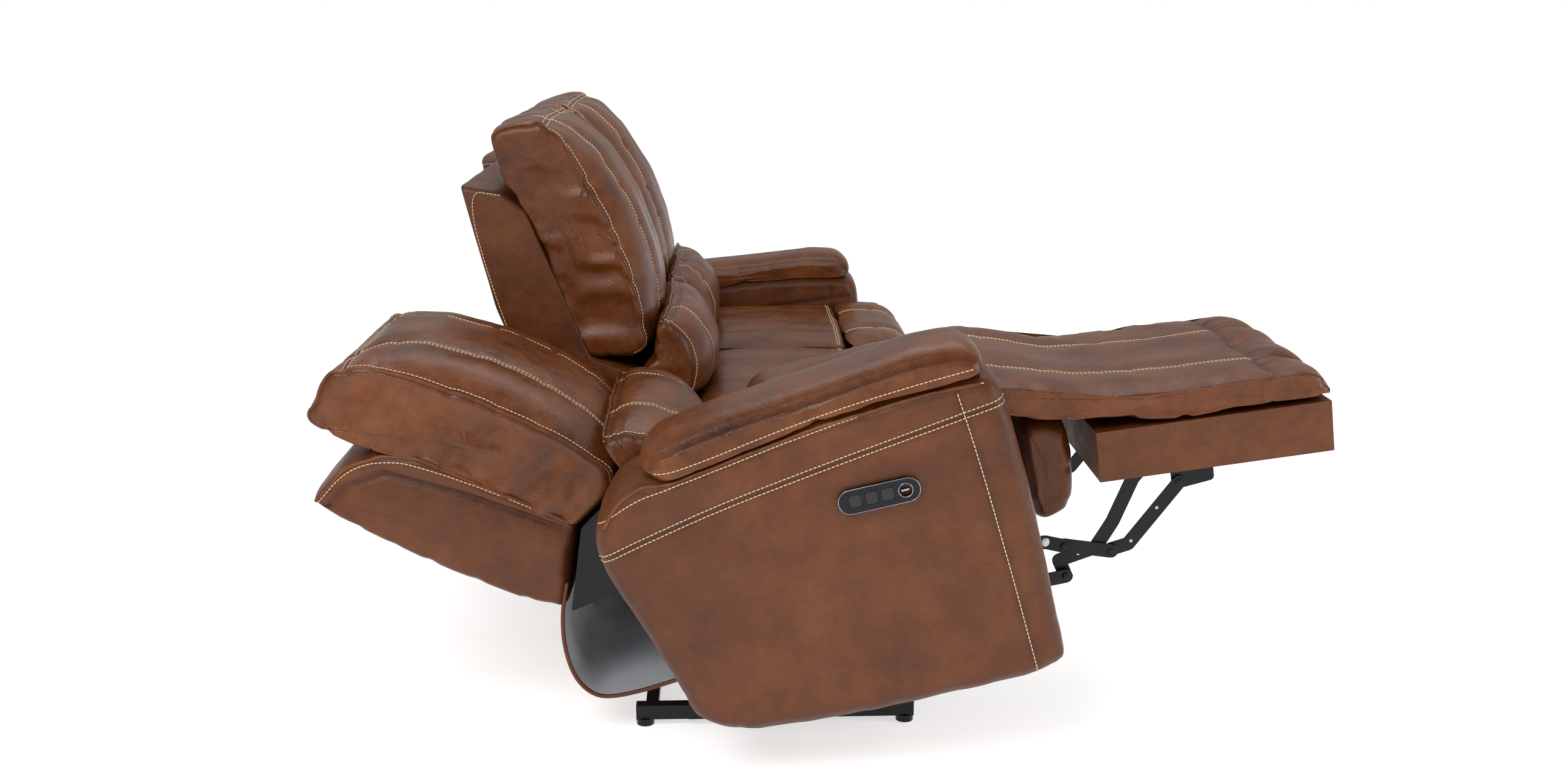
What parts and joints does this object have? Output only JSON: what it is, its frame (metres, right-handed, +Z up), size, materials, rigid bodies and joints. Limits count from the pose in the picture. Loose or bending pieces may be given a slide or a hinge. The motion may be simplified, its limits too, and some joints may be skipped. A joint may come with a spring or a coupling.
{
  "type": "reclining sofa",
  "caption": "Leather sofa with reclining end places, powered footrests on folding links, a fixed middle place and padded arms.",
  "frame": {"origin": "underside of the centre foot under the middle place", "axes": "+X the way a sitter faces, +Y along the sofa from the reclined end to the upright end, +Z up"},
  "size_m": [1.8723, 2.156, 1.1074],
  "materials": {
    "leather": "semi-gloss grained",
    "panel_leather": "satin grained",
    "steel": "satin black",
    "trim": "dark chrome",
    "plastic": "fine grained",
    "lining": "plain lining",
    "cloth": "black dust cloth"
  },
  "bodies": {
    "root": {"middle_seat_frame": "cloth", "centre_foot": "steel", "middle_seat_cushion": "leather", "middle_front_pad": "leather", "middle_back_shell": "panel_leather", "middle_head_cushion": "leather", "middle_lumbar_cushion": "leather", "near_base_frame": "steel", "far_base_frame": "steel"},
    "near_lift": {"near_rear_lift_link": "steel"},
    "near_chassis": {"near_chassis_frame": "steel", "near_drive_motor": "plastic", "near_seat_cushion": "leather", "near_arm_body": "panel_leather", "near_arm_pad": "leather", "near_control_panel": "trim", "near_rear_skirt": "lining"},
    "near_back": {"near_back_shell": "panel_leather", "near_back_frame": "steel", "near_head_cushion": "leather", "near_lumbar_cushion": "leather"},
    "near_footrest": {"near_footrest_board": "panel_leather", "near_footrest_pad": "leather"},
    "near_flap": {"near_mid_flap": "leather"},
    "near_carrier": {"near_link_carrier": "steel"},
    "near_short_links": {"near_short_link_left": "steel", "near_short_link_right": "steel"},
    "near_long_links": {"near_long_link_left": "steel", "near_long_link_right": "steel"},
    "near_elbow_links": {"near_elbow_link_left": "steel", "near_elbow_link_right": "steel"},
    "near_key_1": {"near_button_1": "plastic"},
    "near_key_2": {"near_button_2": "plastic"},
    "near_key_3": {"near_button_3": "plastic"},
    "far_lift": {"far_rear_lift_link": "steel"},
    "far_chassis": {"far_chassis_frame": "steel", "far_drive_motor": "plastic", "far_seat_cushion": "leather", "far_arm_body": "panel_leather", "far_arm_pad": "leather", "far_control_panel": "trim", "far_rear_skirt": "lining"},
    "far_back": {"far_back_shell": "panel_leather", "far_back_frame": "steel", "far_head_cushion": "leather", "far_lumbar_cushion": "leather"},
    "far_footrest": {"far_footrest_board": "panel_leather", "far_footrest_pad": "leather"},
    "far_flap": {"far_mid_flap": "leather"},
    "far_carrier": {"far_link_carrier": "steel"},
    "far_short_links": {"far_short_link_left": "steel", "far_short_link_right": "steel"},
    "far_long_links": {"far_long_link_left": "steel", "far_long_link_right": "steel"},
    "far_elbow_links": {"far_elbow_link_left": "steel", "far_elbow_link_right": "steel"},
    "far_key_1": {"far_button_1": "plastic"},
    "far_key_2": {"far_button_2": "plastic"},
    "far_key_3": {"far_button_3": "plastic"}
  },
  "joints": [
    {"name": "near_tilt", "type": "hinge", "parent": "root", "child": "near_chassis", "pos_m": [-0.425, -0.57, 1.032], "axis": [0, -1, 0], "range_deg": [-12.6, 0]},
    {"name": "near_lift", "type": "hinge", "parent": "root", "child": "near_lift", "pos_m": [-0.1475, -0.57, 0.056], "axis": [0, -1, 0], "range_deg": [-0.6, 74]},
    {"name": "near_footrest", "type": "hinge", "parent": "near_chassis", "child": "near_footrest", "pos_m": [0.56851, -0.57, 0.71305], "axis": [0, -1, 0], "range_deg": [-85.6, 0.6]},
    {"name": "near_flap", "type": "hinge", "parent": "near_chassis", "child": "near_flap", "pos_m": [0.35892, -0.57, 0.55963], "axis": [0, -1, 0], "range_deg": [-90.6, 0.6]},
    {"name": "near_short_link", "type": "hinge", "parent": "near_carrier", "child": "near_short_links", "pos_m": [0.53672, -0.57, 0.36472], "axis": [0, -1, 0], "range_deg": [-0.6, 25.1]},
    {"name": "near_long_link", "type": "hinge", "parent": "near_footrest", "child": "near_long_links", "pos_m": [0.72357, -0.57, 0.56941], "axis": [0, -1, 0], "range_deg": [-0.6, 96.1]},
    {"name": "near_elbow_link", "type": "hinge", "parent": "near_footrest", "child": "near_elbow_links", "pos_m": [0.74928, -0.57, 0.48191], "axis": [0, -1, 0], "range_deg": [-0.6, 140.8]},
    {"name": "near_carrier_slide", "type": "slide", "parent": "near_chassis", "child": "near_carrier", "axis": [0.9759, 0, 0.2181], "range_m": [-0.241, 0.002]},
    {"name": "near_recline", "type": "hinge", "parent": "near_chassis", "child": "near_back", "pos_m": [0.05513, -0.57, 0.37389], "axis": [0, -1, 0], "range_deg": [-31.2, 0], "deforming": ["near_rear_skirt"]},
    {"name": "near_button_1_press", "type": "slide", "parent": "near_chassis", "child": "near_key_1", "axis": [0, 1, 0], "range_m": [0, 0.001], "stiffness_N_per_m": 400},
    {"name": "near_button_2_press", "type": "slide", "parent": "near_chassis", "child": "near_key_2", "axis": [0, 1, 0], "range_m": [0, 0.001], "stiffness_N_per_m": 400},
    {"name": "near_button_3_press", "type": "slide", "parent": "near_chassis", "child": "near_key_3", "axis": [0, 1, 0], "range_m": [0, 0.001], "stiffness_N_per_m": 400},
    {"name": "far_tilt", "type": "hinge", "parent": "root", "child": "far_chassis", "pos_m": [-0.425, 0.57, 1.032], "axis": [0, -1, 0], "range_deg": [0, 12.6]},
    {"name": "far_lift", "type": "hinge", "parent": "root", "child": "far_lift", "pos_m": [-0.1475, 0.57, 0.056], "axis": [0, -1, 0], "range_deg": [-74, 0.6]},
    {"name": "far_footrest", "type": "hinge", "parent": "far_chassis", "child": "far_footrest", "pos_m": [0.475, 0.57, 0.504], "axis": [0, -1, 0], "range_deg": [-0.6, 85.6]},
    {"name": "far_flap", "type": "hinge", "parent": "far_chassis", "child": "far_flap", "pos_m": [0.237, 0.57, 0.4], "axis": [0, -1, 0], "range_deg": [-0.6, 90.6]},
    {"name": "far_short_link", "type": "hinge", "parent": "far_carrier", "child": "far_short_links", "pos_m": [0.129, 0.57, 0.171], "axis": [0, -1, 0], "range_deg": [-25.1, 0.6]},
    {"name": "far_long_link", "type": "hinge", "parent": "far_footrest", "child": "far_long_links", "pos_m": [0.31212, 0.57, 0.36929], "axis": [0, -1, 0], "range_deg": [-96.1, 0.6]},
    {"name": "far_elbow_link", "type": "hinge", "parent": "far_footrest", "child": "far_elbow_links", "pos_m": [0.22199, 0.57, 0.35538], "axis": [0, -1, 0], "range_deg": [-140.8, 0.6]},
    {"name": "far_carrier_slide", "type": "slide", "parent": "far_chassis", "child": "far_carrier", "axis": [1, 0, 0], "range_m": [-0.002, 0.241]},
    {"name": "far_recline", "type": "hinge", "parent": "far_chassis", "child": "far_back", "pos_m": [-0.1, 0.57, 0.285], "axis": [0, -1, 0], "range_deg": [0, 31.2], "deforming": ["far_rear_skirt"]},
    {"name": "far_button_1_press", "type": "slide", "parent": "far_chassis", "child": "far_key_1", "axis": [0, -1, 0], "range_m": [0, 0.001], "stiffness_N_per_m": 400},
    {"name": "far_button_2_press", "type": "slide", "parent": "far_chassis", "child": "far_key_2", "axis": [0, -1, 0], "range_m": [0, 0.001], "stiffness_N_per_m": 400},
    {"name": "far_button_3_press", "type": "slide", "parent": "far_chassis", "child": "far_key_3", "axis": [0, -1, 0], "range_m": [0, 0.001], "stiffness_N_per_m": 400}
  ],
  "couplings": [
    {"joint": "near_lift", "follows": "near_tilt", "ratio": -5.8254},
    {"joint": "near_footrest", "follows": "near_tilt", "ratio": 6.746},
    {"joint": "near_flap", "follows": "near_tilt", "ratio": 7.1429},
    {"joint": "near_short_link", "follows": "near_tilt", "ratio": -1.9444},
    {"joint": "near_long_link", "follows": "near_tilt", "ratio": -7.5794},
    {"joint": "near_elbow_link", "follows": "near_tilt", "ratio": -11.127},
    {"joint": "near_carrier_slide", "follows": "near_tilt", "m_per_rad": 1.0868},
    {"joint": "far_lift", "follows": "far_tilt", "ratio": -5.8254},
    {"joint": "far_footrest", "follows": "far_tilt", "ratio": 6.746},
    {"joint": "far_flap", "follows": "far_tilt", "ratio": 7.1429},
    {"joint": "far_short_link", "follows": "far_tilt", "ratio": -1.9444},
    {"joint": "far_long_link", "follows": "far_tilt", "ratio": -7.5794},
    {"joint": "far_elbow_link", "follows": "far_tilt", "ratio": -11.127},
    {"joint": "far_carrier_slide", "follows": "far_tilt", "m_per_rad": 1.0868}
  ]
}
